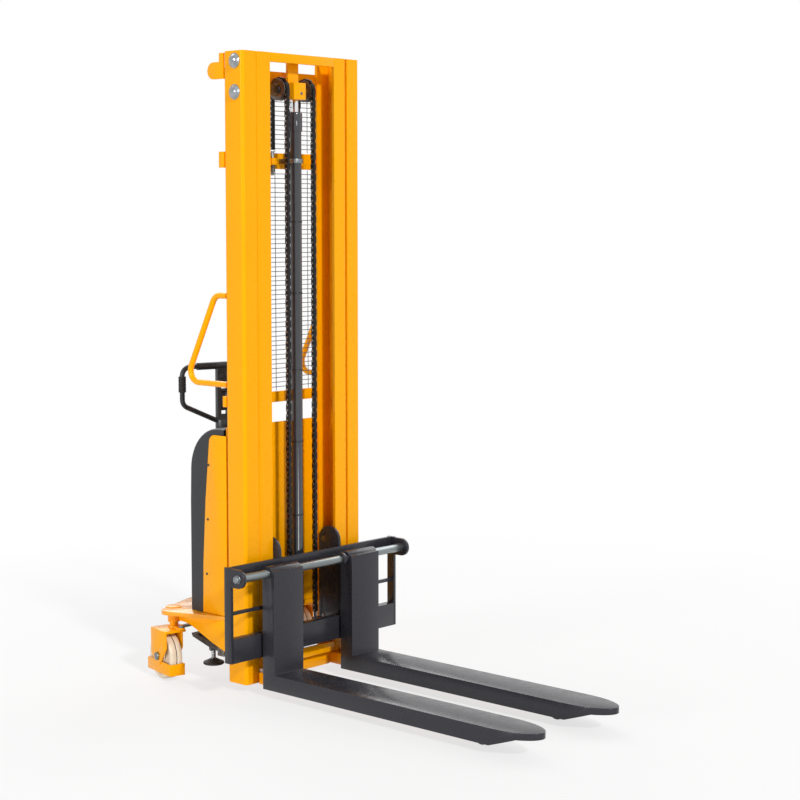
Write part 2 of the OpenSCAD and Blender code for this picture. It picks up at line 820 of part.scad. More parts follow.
module lock_foot() {
    color("black") at_mast() {
        bar_x([lock_x - 17, lock_x + 17], foot_y, foot_pin_z, 4 - RUN);
        bar_x([lock_x - 8, lock_x + 8], foot_y, foot_pin_z, 4.9);
        translate([lock_x, foot_y, 0]) rotate_extrude()
            polygon([[0, 45], [37, 45], [40, 49], [38, 54], [24, 60], [13, 66], [8, 70], [8, 99], [0, 99]]);
    }
}

outer_upright(-1);  // outer_upright_left
outer_upright(1);  // outer_upright_right
mast_top_plate();
mast_mid_beam();
mast_low_beam();
base_beam();
leg(-1);  // leg_left
leg(1);  // leg_right
base_plate();
gussets();
rear_cover();
side_panels();
front_panel();
battery();
pump_unit();
charger();
lift_cylinder();
cylinder_clamp();
cable_ties();
hydraulic_hose();
mesh_guard();
grab_rails();
chain_anchors();
slide_pads();
panel_screws();
lock_bracket();
bearing_caps();
inner_uprights();
inner_beams();
rod_bracket();
piston_rod();
chain_rollers();
mast_rollers();
chain_front();
chain_wraps();
chain_rear();
carriage_sides();
carriage_beams();
roller_brackets();
carriage_roller_pair(lower_roller_z);  // lower_rollers
carriage_roller_pair(upper_roller_z);  // upper_rollers
fork_bar();
bar_bolts();
fork(fork_left_x);  // fork_left
fork(fork_right_x);  // fork_right
load_roller(-1);  // load_roller_left
load_roller(1);  // load_roller_right
caster(-1);  // caster_left
caster(1);  // caster_right
caster_wheel(-1);  // caster_wheel_left
caster_wheel(1);  // caster_wheel_right
tie_bar();
steer_head();
handle_arm();
handle_loop();
lowering_lever();
lock_pedal();
lock_foot();
stop_button();
key_switch();
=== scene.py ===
"""Looks of the walkie stacker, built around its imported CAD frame.

Every CAD node is taken over as a copy with softened edges and its own finish, except the chains, which are
built link by link. Grips, rockers, weld seams, the battery gauge and small fittings are added. All places
come from the frame and from the few sizes that the classes hold, in metres, with the forks pointing to -Y.
"""

import json
import logging
import math
from collections.abc import Callable, Iterable
from dataclasses import dataclass
from enum import Enum

import bmesh
import bpy
from mathutils import Matrix, Vector


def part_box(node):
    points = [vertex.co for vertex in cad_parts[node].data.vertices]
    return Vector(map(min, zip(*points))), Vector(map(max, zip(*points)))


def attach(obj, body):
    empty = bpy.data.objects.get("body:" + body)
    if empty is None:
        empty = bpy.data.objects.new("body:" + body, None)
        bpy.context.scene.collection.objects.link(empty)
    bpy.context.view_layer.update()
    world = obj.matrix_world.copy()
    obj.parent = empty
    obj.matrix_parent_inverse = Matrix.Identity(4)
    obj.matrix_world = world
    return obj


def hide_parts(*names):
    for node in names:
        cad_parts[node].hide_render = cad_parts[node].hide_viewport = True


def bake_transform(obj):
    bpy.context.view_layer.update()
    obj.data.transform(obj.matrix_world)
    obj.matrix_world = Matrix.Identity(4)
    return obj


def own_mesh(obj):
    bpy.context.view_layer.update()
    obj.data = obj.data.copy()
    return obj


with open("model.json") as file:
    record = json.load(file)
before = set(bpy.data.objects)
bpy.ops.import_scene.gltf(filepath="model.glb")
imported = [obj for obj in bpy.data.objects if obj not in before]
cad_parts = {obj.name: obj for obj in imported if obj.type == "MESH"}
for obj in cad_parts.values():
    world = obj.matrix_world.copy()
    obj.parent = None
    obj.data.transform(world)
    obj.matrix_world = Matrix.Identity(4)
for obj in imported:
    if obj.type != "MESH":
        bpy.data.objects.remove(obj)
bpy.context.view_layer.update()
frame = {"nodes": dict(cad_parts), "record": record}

LOG = logging.getLogger("stacker")
BEHAVIOUR = frame["record"]["behaviour"]
BODY_OF = {node: body for body, nodes in BEHAVIOUR["bodies"].items() for node in nodes}
PIVOTS = {joint["name"]: Vector(joint["pos_m"]) for joint in BEHAVIOUR["joints"] if "pos_m" in joint}
MM = 0.001
SHARP = math.radians(28)
FLAT = math.radians(0.4)
WELD = 2e-6
SPECKS_PER_METRE = 260.0
SPECK_REACH = 0.35
DUST_TOP = 0.22
DUST_PATCHES = 14.0
DUST_COLOUR = (150, 135, 115)

Colour = tuple[float, float, float]
Point = tuple[float, float, float]


def linear(rgb: Colour) -> tuple[float, float, float, float]:
    """Turns a display colour into the linear colour that a shader takes.

    Args:
        rgb: Red, green and blue from 0 to 255.

    Returns:
        Linear red, green, blue and an alpha of 1.
    """
    parts = [v / 255 for v in rgb]
    low = [v / 12.92 if v <= 0.04045 else ((v + 0.055) / 1.055) ** 2.4 for v in parts]
    return (low[0], low[1], low[2], 1.0)


class Grain(Enum):
    """Direction in which a surface's fine texture is drawn out."""

    EVEN = (1.0, 1.0, 1.0)
    ALONG_X = (0.04, 1.0, 1.0)
    ALONG_Z = (1.0, 1.0, 0.04)


@dataclass(frozen=True)
class Finish:
    """A procedural surface: colour drift, roughness drift and fine relief over object coordinates."""

    name: str
    colour: Colour
    roughness: float = 0.4
    metallic: float = 0.0
    coat: float = 0.0
    drift: float = 0.06
    drift_scale: float = 5.0
    blotch: float = 0.06
    relief: float = 0.00002
    relief_scale: float = 900.0
    grain: Grain = Grain.EVEN
    speckle: float = 0.0
    sheen: float = 0.0
    dust: float = 0.0
    tint: float = 0.0

    def material(self) -> bpy.types.Material:
        """Returns this finish's material, made at its first use."""
        found = bpy.data.materials.get(self.name)
        return found or self._make()

    def _make(self) -> bpy.types.Material:
        """Builds the node tree.

        Returns:
            The new material.
        """
        material = bpy.data.materials.new(self.name)
        material.use_nodes = True
        tree = material.node_tree
        shader = tree.nodes["Principled BSDF"]
        shader.inputs["Metallic"].default_value = self.metallic
        shader.inputs["Coat Weight"].default_value = self.coat
        shader.inputs["Coat Roughness"].default_value = 0.08
        shader.inputs["Sheen Weight"].default_value = self.sheen
        base = linear(self.colour)
        tinted = tuple(1 - self.tint * (1 - c) for c in base[:3])
        shader.inputs["Specular Tint"].default_value = tinted + (1.0,)
        place = tree.nodes.new("ShaderNodeTexCoord")
        colour = self._colour(tree, place.outputs["Object"])
        tree.links.new(colour, shader.inputs["Base Color"])
        rough = self._range(
            tree, self._noise(tree, place.outputs["Object"], self.drift_scale * 6, 4.0),
            self.roughness - self.blotch, self.roughness + self.blotch,
        )
        tree.links.new(rough, shader.inputs["Roughness"])
        tree.links.new(self._bump(tree, place.outputs["Object"]), shader.inputs["Normal"])
        return material

    def _noise(self, tree: bpy.types.NodeTree, where: bpy.types.NodeSocket, scale: float,
               detail: float) -> bpy.types.NodeSocket:
        """Adds a noise drawn out along this finish's grain.

        Args:
            tree: Node tree that takes the nodes.
            where: Coordinates to read.
            scale: Spots per metre.
            detail: Octaves of detail.

        Returns:
            The noise's value, from 0 to 1.
        """
        mapping = tree.nodes.new("ShaderNodeMapping")
        mapping.inputs["Scale"].default_value = self.grain.value
        noise = tree.nodes.new("ShaderNodeTexNoise")
        noise.inputs["Scale"].default_value = scale
        noise.inputs["Detail"].default_value = detail
        tree.links.new(where, mapping.inputs["Vector"])
        tree.links.new(mapping.outputs["Vector"], noise.inputs["Vector"])
        return noise.outputs["Fac"]

    @staticmethod
    def _range(tree: bpy.types.NodeTree, value: bpy.types.NodeSocket, low: float,
               high: float) -> bpy.types.NodeSocket:
        """Maps the middle of a noise to low and high.

        Args:
            tree: Node tree that takes the node.
            value: The noise.
            low: Result where the noise is low.
            high: Result where the noise is high.

        Returns:
            The mapped value.
        """
        node = tree.nodes.new("ShaderNodeMapRange")
        node.inputs["From Min"].default_value = 0.3
        node.inputs["From Max"].default_value = 0.7
        node.inputs["To Min"].default_value = low
        node.inputs["To Max"].default_value = high
        tree.links.new(value, node.inputs["Value"])
        return node.outputs["Result"]

    @staticmethod
    def _mix(tree: bpy.types.NodeTree, share: bpy.types.NodeSocket, first: bpy.types.NodeSocket | tuple,
             second: tuple) -> bpy.types.NodeSocket:
        """Mixes two colours.

        Args:
            tree: Node tree that takes the node.
            share: How much of the second colour shows.
            first: Colour or socket under it.
            second: Colour on top.

        Returns:
            The mixed colour.
        """
        node = tree.nodes.new("ShaderNodeMix")
        node.data_type = "RGBA"
        tree.links.new(share, node.inputs["Factor"])
        if isinstance(first, tuple):
            node.inputs["A"].default_value = first
        else:
            tree.links.new(first, node.inputs["A"])
        node.inputs["B"].default_value = second
        return node.outputs["Result"]

    def _colour(self, tree: bpy.types.NodeTree, where: bpy.types.NodeSocket) -> bpy.types.NodeSocket:
        """Adds the colour's drift, specks and dust.

        Args:
            tree: Node tree that takes the nodes.
            where: Object coordinates.

        Returns:
            The colour socket.
        """
        base = linear(self.colour)
        shade = tuple(c * (1 - 2 * self.drift) for c in base[:3]) + (1.0,)
        share = self._range(tree, self._noise(tree, where, self.drift_scale, 5.0), 0.0, 1.0)
        colour = self._mix(tree, share, base, shade)
        if self.speckle:
            specks = tree.nodes.new("ShaderNodeTexVoronoi")
            specks.inputs["Scale"].default_value = SPECKS_PER_METRE
            tree.links.new(where, specks.inputs["Vector"])
            near = tree.nodes.new("ShaderNodeMapRange")
            near.inputs["From Min"].default_value = 0.0
            near.inputs["From Max"].default_value = SPECK_REACH
            near.inputs["To Min"].default_value = self.speckle
            near.inputs["To Max"].default_value = 0.0
            tree.links.new(specks.outputs["Distance"], near.inputs["Value"])
            light = tuple(min(1.0, c * 1.7 + 0.03) for c in base[:3]) + (1.0,)
            colour = self._mix(tree, near.outputs["Result"], colour, light)
        if self.dust:
            split = tree.nodes.new("ShaderNodeSeparateXYZ")
            tree.links.new(where, split.inputs["Vector"])
            low = tree.nodes.new("ShaderNodeMapRange")
            low.inputs["From Min"].default_value = 0.0
            low.inputs["From Max"].default_value = DUST_TOP
            low.inputs["To Min"].default_value = self.dust
            low.inputs["To Max"].default_value = 0.0
            tree.links.new(split.outputs["Z"], low.inputs["Value"])
            patch = tree.nodes.new("ShaderNodeMath")
            patch.operation = "MULTIPLY"
            tree.links.new(low.outputs["Result"], patch.inputs[0])
            tree.links.new(self._noise(tree, where, DUST_PATCHES, 6.0), patch.inputs[1])
            colour = self._mix(tree, patch.outputs["Value"], colour, linear(DUST_COLOUR))
        return colour

    def _bump(self, tree: bpy.types.NodeTree, where: bpy.types.NodeSocket) -> bpy.types.NodeSocket:
        """Adds the fine relief.

        Args:
            tree: Node tree that takes the nodes.
            where: Object coordinates.

        Returns:
            The normal socket.
        """
        bump = tree.nodes.new("ShaderNodeBump")
        bump.inputs["Strength"].default_value = 0.6
        bump.inputs["Distance"].default_value = self.relief
        tree.links.new(self._noise(tree, where, self.relief_scale, 2.0), bump.inputs["Height"])
        return bump.outputs["Normal"]


class Finishes:
    """The finishes of the truck, by what a maker would call them."""

    yellow = Finish("yellow_powder_coat", (254, 171, 1), 0.3, coat=0.04, drift=0.015, tint=0.9,
                    relief=0.00002, relief_scale=420)
    plate_yellow = Finish("gloss_yellow_coat", (246, 160, 4), 0.24, coat=0.06, drift=0.015, dust=0.05,
                          relief=0.00002, relief_scale=300)
    slate = Finish("slate_gloss_coat", (46, 46, 52), 0.25, drift=0.03, tint=0.4, relief=0.000008,
                   relief_scale=320)
    grey_coat = Finish("grey_cylinder_coat", (46, 48, 53), 0.12, coat=0.6, drift=0.04, relief=0.00001)
    zinc = Finish("bright_zinc", (142, 148, 149), 0.32, metallic=0.85, drift=0.16, drift_scale=45,
                  blotch=0.12, grain=Grain.ALONG_X, relief=0.00002)
    dome = Finish("polished_zinc", (176, 182, 186), 0.12, metallic=1.0, drift=0.22, drift_scale=60,
                  blotch=0.06)
    wire = Finish("galvanised_wire", (96, 98, 100), 0.45, metallic=0.5, drift=0.1)
    chrome = Finish("hard_chrome", (225, 227, 230), 0.08, metallic=1.0, drift=0.03, blotch=0.03,
                    grain=Grain.ALONG_Z, relief=0.000004)
    chain = Finish("oiled_chain_steel", (40, 38, 39), 0.3, metallic=0.4, drift=0.25, drift_scale=90,
                   blotch=0.12)
    pin = Finish("bright_chain_pin", (186, 182, 176), 0.25, metallic=0.9, drift=0.1, drift_scale=90)
    roller = Finish("turned_steel", (112, 108, 104), 0.34, metallic=0.85, drift=0.12, drift_scale=30,
                    blotch=0.1)
    cover = Finish("hood_plastic", (28, 30, 34), 0.48, drift=0.04, blotch=0.05, relief=0.0001,
                   relief_scale=700)
    nylon = Finish("cream_nylon", (228, 214, 190), 0.32, drift=0.04, drift_scale=22, blotch=0.08,
                   relief=0.00005, relief_scale=260, sheen=0.05)
    black = Finish("black_moulding", (34, 34, 37), 0.4, drift=0.08, blotch=0.08, relief=0.00006,
                   relief_scale=600)
    rubber = Finish("black_rubber", (28, 28, 28), 0.66, drift=0.12, drift_scale=16, blotch=0.1,
                    relief=0.00015, relief_scale=380, dust=0.08)
    red = Finish("signal_red", (196, 22, 18), 0.3, coat=0.4, drift=0.03)
    cast = Finish("cast_alloy", (150, 152, 154), 0.5, metallic=0.8, drift=0.12, relief=0.0002,
                  relief_scale=300)
    urethane = Finish("load_roller_urethane", (52, 30, 24), 0.45, drift=0.08, dust=0.1)
    pedal = Finish("painted_pedal_steel", (78, 78, 82), 0.46, metallic=0.3, drift=0.1, drift_scale=24,
                   dust=0.05)
    case = Finish("battery_case", (44, 45, 50), 0.5, drift=0.06, relief=0.0001)
    # painted shade: near-black colour for the caster tread's groove
    dark = Finish("painted_groove_shade", (16, 16, 17), 0.6, drift=0.05)
    glass = Finish("gauge_window", (24, 30, 34), 0.08, coat=1.0, drift=0.02)
    green = Finish("gauge_green", (70, 170, 60), 0.3, drift=0.02)
    amber = Finish("gauge_amber", (236, 150, 30), 0.3, drift=0.02)


# ---------- shared mesh tools ----------

def soften(mesh: bmesh.types.BMesh) -> None:
    """Marks gentle edges as smooth and the others as sharp.

    Args:
        mesh: Mesh to mark.
    """
    for face in mesh.faces:
        face.smooth = True
    for edge in mesh.edges:
        edge.smooth = edge.is_manifold and edge.calc_face_angle(0.0) < SHARP


def round_edges(mesh: bmesh.types.BMesh, width: float, segments: int = 2,
                pick: Callable[[bmesh.types.BMEdge], bool] | None = None) -> None:
    """Rounds the sharp edges of a mesh.

    Args:
        mesh: Mesh to change.
        width: Width of the rounding.
        segments: Faces across the rounding.
        pick: Test that an edge has to pass, or None for every sharp edge.
    """
    if width <= 0:
        return
    sharp = [e for e in mesh.edges if e.is_manifold and e.calc_face_angle(0.0) > SHARP]
    edges = [e for e in sharp if pick is None or pick(e)]
    bmesh.ops.bevel(mesh, geom=edges, offset=width, offset_type="OFFSET", segments=segments, profile=0.5,
                    affect="EDGES", clamp_overlap=True, material=-1)


def finish_piece(name: str, mesh: bmesh.types.BMesh, look: Finish, body: str,
                 stands_for: Iterable[str] = ()) -> bpy.types.Object:
    """Turns a mesh into a piece of the truck.

    Args:
        name: Name of the piece.
        mesh: The finished mesh, which is freed.
        look: Its finish.
        body: CAD body that it rides on.
        stands_for: CAD nodes that it replaces.

    Returns:
        The new object.
    """
    soften(mesh)
    data = bpy.data.meshes.new(name)
    mesh.to_mesh(data)
    mesh.free()
    data.materials.append(look.material())
    piece = bpy.data.objects.new(name, data)
    bpy.context.scene.collection.objects.link(piece)
    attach(piece, body)
    for node in stands_for:
        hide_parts(node)
    LOG.info("%s: %d faces on %s", name, len(data.polygons), body)
    return piece


def copy_of(node: str) -> bmesh.types.BMesh:
    """Copies a CAD node's mesh, with its loose triangles merged into whole faces.

    Args:
        node: Name of the CAD node.

    Returns:
        The copy.
    """
    mesh = bmesh.new()
    mesh.from_mesh(frame["nodes"][node].data)
    bmesh.ops.remove_doubles(mesh, verts=mesh.verts, dist=WELD)
    bmesh.ops.dissolve_limit(mesh, angle_limit=FLAT, verts=mesh.verts, edges=mesh.edges)
    return mesh


def take_over(node: str, look: Finish, edge: float = 1.2 * MM, segments: int = 2,
              pick: Callable[[bmesh.types.BMEdge], bool] | None = None) -> bpy.types.Object:
    """Replaces a CAD node with a softened copy of itself.

    Args:
        node: Name of the CAD node.
        look: Its finish.
        edge: Width of the rounding of its edges.
        segments: Faces across the rounding.
        pick: Test for the edges to round.

    Returns:
        The new piece.
    """
    mesh = copy_of(node)
    round_edges(mesh, edge, segments, pick)
    return finish_piece(f"{node}_part", mesh, look, BODY_OF[node], [node])


def paint(piece: bpy.types.Object, look: Finish, inside: Callable[[Vector], bool]) -> None:
    """Gives a second finish to a part of a piece.

    Args:
        piece: The finished piece.
        look: The other finish.
        inside: Test for the middle of a face.
    """
    piece.data.materials.append(look.material())
    for face in piece.data.polygons:
        if inside(face.center):
            face.material_index = len(piece.data.materials) - 1


def turned(profile: list[tuple[float, float]], centre: Vector, axis: Vector,
           steps: int = 40) -> bmesh.types.BMesh:
    """Spins a profile of (radius, height) points round an axis.

    Args:
        profile: Points of the profile, from its foot to its top.
        centre: Where height 0 lies.
        axis: Direction of the height.
        steps: Faces round the piece.

    Returns:
        The closed mesh.
    """
    mesh = bmesh.new()
    verts = [mesh.verts.new((max(r, 0.0), 0.0, h)) for r, h in profile]
    edges = [mesh.edges.new(pair) for pair in zip(verts, verts[1:])]
    bmesh.ops.spin(mesh, geom=verts + edges, cent=(0, 0, 0), axis=(0, 0, 1), angle=math.tau, steps=steps,
                   use_merge=True)
    bmesh.ops.remove_doubles(mesh, verts=mesh.verts, dist=1e-6)
    bmesh.ops.holes_fill(mesh, edges=mesh.edges, sides=0)
    bmesh.ops.recalc_face_normals(mesh, faces=mesh.faces)
    place(mesh, centre, axis)
    return mesh


def place(mesh: bmesh.types.BMesh, centre: Vector, axis: Vector = Vector((0, 0, 1))) -> None:
    """Turns a mesh's +Z to an axis and moves it.

    Args:
        mesh: Mesh to move.
        centre: Where its origin goes.
        axis: Where its +Z goes.
    """
    turn = axis.to_track_quat("Z", "Y").to_matrix().to_4x4()
    bmesh.ops.transform(mesh, matrix=Matrix.Translation(centre) @ turn, verts=mesh.verts)


def merge(target: bmesh.types.BMesh, other: bmesh.types.BMesh) -> None:
    """Adds one mesh to another and frees it.

    Args:
        target: Mesh that grows.
        other: Mesh that is added.
    """
    data = bpy.data.meshes.new("joined")
    other.to_mesh(data)
    other.free()
    target.from_mesh(data)
    bpy.data.meshes.remove(data)


def slab(low: Point, high: Point, edge: float = 0.0, segments: int = 2) -> bmesh.types.BMesh:
    """Makes a box between two corners, with rounded edges.

    Args:
        low: Lowest corner.
        high: Highest corner.
        edge: Width of the rounding.
        segments: Faces across the rounding.

    Returns:
        The mesh.
    """
    mesh = bmesh.new()
    bmesh.ops.create_cube(mesh, size=1.0)
    size = Vector(high) - Vector(low)
    middle = (Vector(high) + Vector(low)) / 2
    shape = Matrix.Translation(middle) @ Matrix.Diagonal((*size, 1.0))
    bmesh.ops.transform(mesh, matrix=shape, verts=mesh.verts)
    round_edges(mesh, edge, segments)
    return mesh


def tube(points: list[Vector], radius: float, sides: int = 12) -> bmesh.types.BMesh:
    """Makes a round tube along a line of points.

    Args:
        points: The line that it follows.
        radius: Its outer radius.
        sides: Faces round it.

    Returns:
        The closed mesh.
    """
    mesh = bmesh.new()
    rings = []
    for i, point in enumerate(points):
        ahead = points[min(i + 1, len(points) - 1)] - points[max(i - 1, 0)]
        made = bmesh.ops.create_circle(mesh, cap_ends=False, radius=radius, segments=sides)["verts"]
        turn = ahead.to_track_quat("Z", "X").to_matrix().to_4x4()
        bmesh.ops.transform(mesh, matrix=Matrix.Translation(point) @ turn, verts=made)
        rings.append(sorted({e for v in made for e in v.link_edges}, key=lambda e: e.index))
    for first, second in zip(rings, rings[1:]):
        bmesh.ops.bridge_loops(mesh, edges=first + second)
    bmesh.ops.holes_fill(mesh, edges=[e for e in mesh.edges if e.is_boundary], sides=0)
    bmesh.ops.recalc_face_normals(mesh, faces=mesh.faces)
    return mesh


def bead(points: list[Vector], radius: float) -> bmesh.types.BMesh:
    """Makes a weld bead: a rippled tube along a line.

    Args:
        points: Ends and corners of the seam.
        radius: Mean radius of the bead.

    Returns:
        The mesh.
    """
    step = radius * 1.4
    line: list[Vector] = []
    for first, second in zip(points, points[1:]):
        count = max(2, int((second - first).length / step))
        line += [first.lerp(second, i / count) for i in range(count)]
    line.append(points[-1])
    mesh = tube(line, radius, 8)
    for vert in mesh.verts:
        near = min(range(len(line)), key=lambda i: (line[i] - vert.co).length_squared)
        ripple = 0.82 + 0.3 * (near % 2)
        vert.co = line[near] + (vert.co - line[near]) * ripple
    return mesh


# ---------- studio ----------

@dataclass
class Studio:
    """Floor, light and camera."""

    eye: Point = (-4.6921, -4.3576, 1.7206)
    yaw: float = 0.8387
    pitch: float = 0.08
    lens: float = 82.1
    shift: tuple[float, float] = (-0.0161, -0.0493)
    floor_size: float = 30.0
    ambient: float = 0.24

    def build(self) -> None:
        """Sets up the whole studio."""
        self._camera()
        self._world()
        self._floor()
        self._lamp("key_lamp", azimuth=16, elevation=34, strength=1.95, spread=5)
        self._lamp("side_lamp", azimuth=96, elevation=10, strength=1.3, spread=12)
        self._lamp("edge_lamp", azimuth=22, elevation=3, strength=0.35, spread=14)
        self._lamp("back_lamp", azimuth=205, elevation=40, strength=1.2, spread=40)
        self._lamp("right_lamp", azimuth=-95, elevation=30, strength=0.9, spread=40)
        bpy.context.scene.view_settings.view_transform = "Standard"

    def _camera(self) -> None:
        """Places the camera."""
        data = bpy.data.cameras.new("camera")
        data.lens = self.lens
        data.sensor_width = 36.0
        data.shift_x, data.shift_y = self.shift
        data.clip_end = 100.0
        camera = bpy.data.objects.new("camera", data)
        ahead = Vector((math.sin(self.yaw) * math.cos(self.pitch), math.cos(self.yaw) * math.cos(self.pitch),
                        -math.sin(self.pitch)))
        camera.location = self.eye
        camera.rotation_mode = "QUATERNION"
        camera.rotation_quaternion = ahead.to_track_quat("-Z", "Y")
        bpy.context.scene.collection.objects.link(camera)
        bpy.context.scene.camera = camera

    def _seen(self, tree: bpy.types.NodeTree) -> bpy.types.NodeSocket:
        """Adds the test for rays that show the background: camera, glossy and transmission rays.

        Args:
            tree: Node tree that takes the nodes.

        Returns:
            A socket that is 1 for these rays.
        """
        path = tree.nodes.new("ShaderNodeLightPath")
        seen = path.outputs["Is Camera Ray"]
        for name in ("Is Glossy Ray", "Is Transmission Ray"):
            both = tree.nodes.new("ShaderNodeMath")
            both.operation = "MAXIMUM"
            tree.links.new(seen, both.inputs[0])
            tree.links.new(path.outputs[name], both.inputs[1])
            seen = both.outputs["Value"]
        return seen

    def _world(self) -> None:
        """Lights the scene from all round, with white behind the truck."""
        world = bpy.data.worlds.new("studio")
        world.use_nodes = True
        tree = world.node_tree
        tree.nodes.clear()
        out = tree.nodes.new("ShaderNodeOutputWorld")
        level = tree.nodes.new("ShaderNodeMapRange")
        level.inputs["To Min"].default_value = self.ambient
        level.inputs["To Max"].default_value = 1.0
        tree.links.new(self._seen(tree), level.inputs["Value"])
        light = tree.nodes.new("ShaderNodeBackground")
        light.inputs["Color"].default_value = (1, 1, 1, 1)
        tree.links.new(level.outputs["Result"], light.inputs["Strength"])
        tree.links.new(light.outputs["Background"], out.inputs["Surface"])
        bpy.context.scene.world = world

    def _floor(self) -> None:
        """Makes the pale floor, which keeps a faint shadow and turns white away from the truck."""
        mesh = bmesh.new()
        bmesh.ops.create_grid(mesh, x_segments=1, y_segments=1, size=self.floor_size)
        data = bpy.data.meshes.new("floor")
        mesh.to_mesh(data)
        mesh.free()
        material = bpy.data.materials.new("studio_floor")
        material.use_nodes = True
        tree = material.node_tree
        tree.nodes.clear()
        out = tree.nodes.new("ShaderNodeOutputMaterial")
        place = tree.nodes.new("ShaderNodeTexCoord")
        away = tree.nodes.new("ShaderNodeVectorMath")
        away.operation = "LENGTH"
        tree.links.new(place.outputs["Object"], away.inputs[0])
        whiter = tree.nodes.new("ShaderNodeMapRange")
        whiter.inputs["From Min"].default_value = 1.0
        whiter.inputs["From Max"].default_value = 3.5
        whiter.inputs["To Min"].default_value = 0.72
        whiter.inputs["To Max"].default_value = 1.0
        tree.links.new(away.outputs["Value"], whiter.inputs["Value"])
        share = tree.nodes.new("ShaderNodeMath")
        share.operation = "MULTIPLY"
        tree.links.new(whiter.outputs["Result"], share.inputs[0])
        tree.links.new(self._seen(tree), share.inputs[1])
        matte = tree.nodes.new("ShaderNodeBsdfDiffuse")
        matte.inputs["Color"].default_value = (0.8, 0.8, 0.8, 1)
        glow = tree.nodes.new("ShaderNodeEmission")
        mix = tree.nodes.new("ShaderNodeMixShader")
        tree.links.new(share.outputs["Value"], mix.inputs["Fac"])
        tree.links.new(matte.outputs["BSDF"], mix.inputs[1])
        tree.links.new(glow.outputs["Emission"], mix.inputs[2])
        tree.links.new(mix.outputs["Shader"], out.inputs["Surface"])
        data.materials.append(material)
        floor = bpy.data.objects.new("floor", data)
        bpy.context.scene.collection.objects.link(floor)

    @staticmethod
    def _lamp(name: str, azimuth: float, elevation: float, strength: float, spread: float) -> None:
        """Adds a distant lamp.

        Args:
            name: Name of the lamp.
            azimuth: Degrees from -Y towards -X that it stands at.
            elevation: Degrees above the floor.
            strength: Its strength.
            spread: Degrees across the lamp as seen from the truck.
        """
        data = bpy.data.lights.new(name, "SUN")
        data.energy = strength
        data.angle = math.radians(spread)
        lamp = bpy.data.objects.new(name, data)
        turn, lift = math.radians(azimuth), math.radians(elevation)
        towards = Vector((math.sin(turn) * math.cos(lift), math.cos(turn) * math.cos(lift), -math.sin(lift)))
        lamp.rotation_mode = "QUATERNION"
        lamp.rotation_quaternion = towards.to_track_quat("-Z", "Y")
        bpy.context.scene.collection.objects.link(lamp)


# ---------- the truck ----------

@dataclass
class Mast:
    """Outer and inner mast with the lift cylinder and the guard."""

    axle_end: float = 78 * MM
    cap_r: float = 14 * MM
    cap_t: float = 4 * MM
    bracket_pin_x: float = 8 * MM
    bracket_pin_z: float = 2.158
    bracket_pin_r: float = 6 * MM
    seam_inset: float = 4 * MM
    seam_r: float = 2.2 * MM

    def build(self) -> None:
        """Dresses the mast's pieces."""
        for node in ("outer_upright_left", "outer_upright_right", "inner_uprights"):
            take_over(node, Finishes.yellow, 0.8 * MM, 1)
        for node in ("mast_top_plate", "mast_mid_beam", "mast_low_beam", "base_beam", "inner_beams",
                     "rod_bracket"):
            take_over(node, Finishes.yellow, 1.0 * MM)
        take_over("lift_cylinder", Finishes.grey_coat, 0.6 * MM)
        take_over("piston_rod", Finishes.chrome, 0.4 * MM)
        take_over("cylinder_clamp", Finishes.zinc, 0.8 * MM)
        take_over("cable_ties", Finishes.black, 0)
        take_over("hydraulic_hose", Finishes.rubber, 0)
        take_over("mesh_guard", Finishes.wire, 0)
        take_over("grab_rails", Finishes.yellow, 0)
        take_over("slide_pads", Finishes.dome, 0.8 * MM)
        take_over("mast_rollers", Finishes.roller, 1.0 * MM)
        take_over("chain_anchors", Finishes.zinc, 0.6 * MM)
        self._axle_caps()
        self._bracket_pin()
        self._beam_seams()

    def _axle_caps(self) -> None:
        """Covers the ends of the chain rollers' axle."""
        r, t = self.cap_r, self.cap_t
        for name, side in (("left", -1), ("right", 1)):
            end = PIVOTS["chain_roller_spin"] + Vector((side * self.axle_end, 0, 0))
            cap = turned([(0, -t), (r, -t), (r, 0), (r * 0.9, t * 0.7), (r * 0.6, t), (0, t)], end,
                         Vector((side, 0, 0)), 32)
            finish_piece(f"axle_cap_{name}", cap, Finishes.black, "inner_mast")

    def _bracket_pin(self) -> None:
        """Sets the dark pin into the front of the rod bracket."""
        front = Vector((self.bracket_pin_x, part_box("rod_bracket")[0].y, self.bracket_pin_z))
        r = self.bracket_pin_r
        pin = turned([(0, -2 * MM), (r, -2 * MM), (r, 0.6 * MM), (r * 0.85, 1.2 * MM), (0, 1.2 * MM)], front,
                     Vector((0, -1, 0)), 28)
        finish_piece("rod_bracket_pin", pin, Finishes.roller, "inner_mast")

    def _beam_seams(self) -> None:
        """Runs weld seams down the corners between the middle beam and the outer uprights."""
        low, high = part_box("mast_mid_beam")
        foot, top = low.z + self.seam_inset, high.z - self.seam_inset
        for name, side in (("left", -1), ("right", 1)):
            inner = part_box(f"outer_upright_{name}")
            x = inner[1].x if side < 0 else inner[0].x
            seam = bead([Vector((x, high.y, foot)), Vector((x, high.y, top))], self.seam_r)
            finish_piece(f"mast_seam_{name}", seam, Finishes.yellow, "mast_frame")


